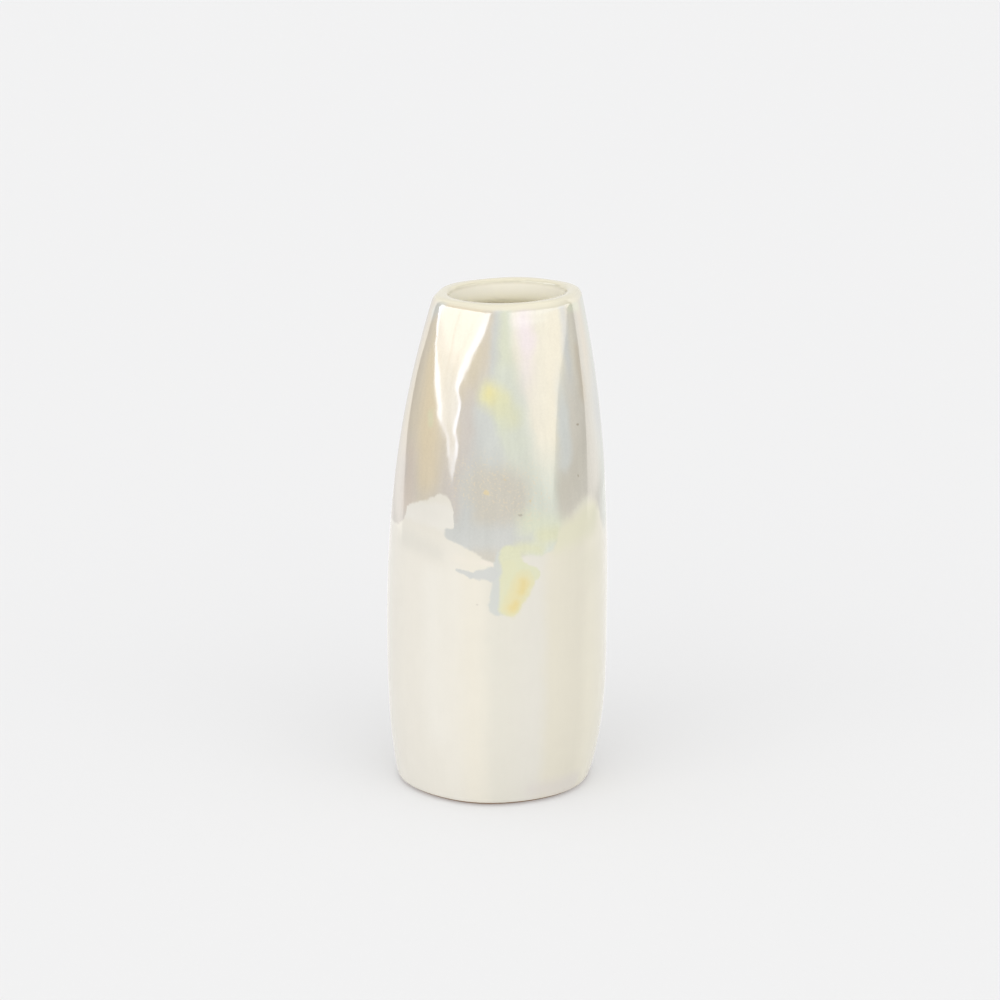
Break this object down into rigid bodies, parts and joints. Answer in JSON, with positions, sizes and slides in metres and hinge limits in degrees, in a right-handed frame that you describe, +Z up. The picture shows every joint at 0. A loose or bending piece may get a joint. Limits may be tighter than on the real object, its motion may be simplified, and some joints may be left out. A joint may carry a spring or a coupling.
{
  "type": "ceramic bud vase",
  "caption": "Small barrel-shaped glazed ceramic bud vase with softly flattened sides, an open round mouth and an iridescent lustre over its upper half.",
  "frame": {"origin": "on the table, under the centre of the belly", "axes": "+Z up, out of the mouth; -Y towards the side that is seen from the front; +X to the right of that view"},
  "size_m": [0.0532, 0.0536, 0.1204],
  "materials": {
    "bare_clay": "matte",
    "lustre_glaze": "glossy",
    "liner_glaze": "glossy"
  },
  "bodies": {
    "root": {"clay_body": "bare_clay", "outer_glaze": "lustre_glaze", "liner_glaze": "liner_glaze"}
  },
  "joints": []
}
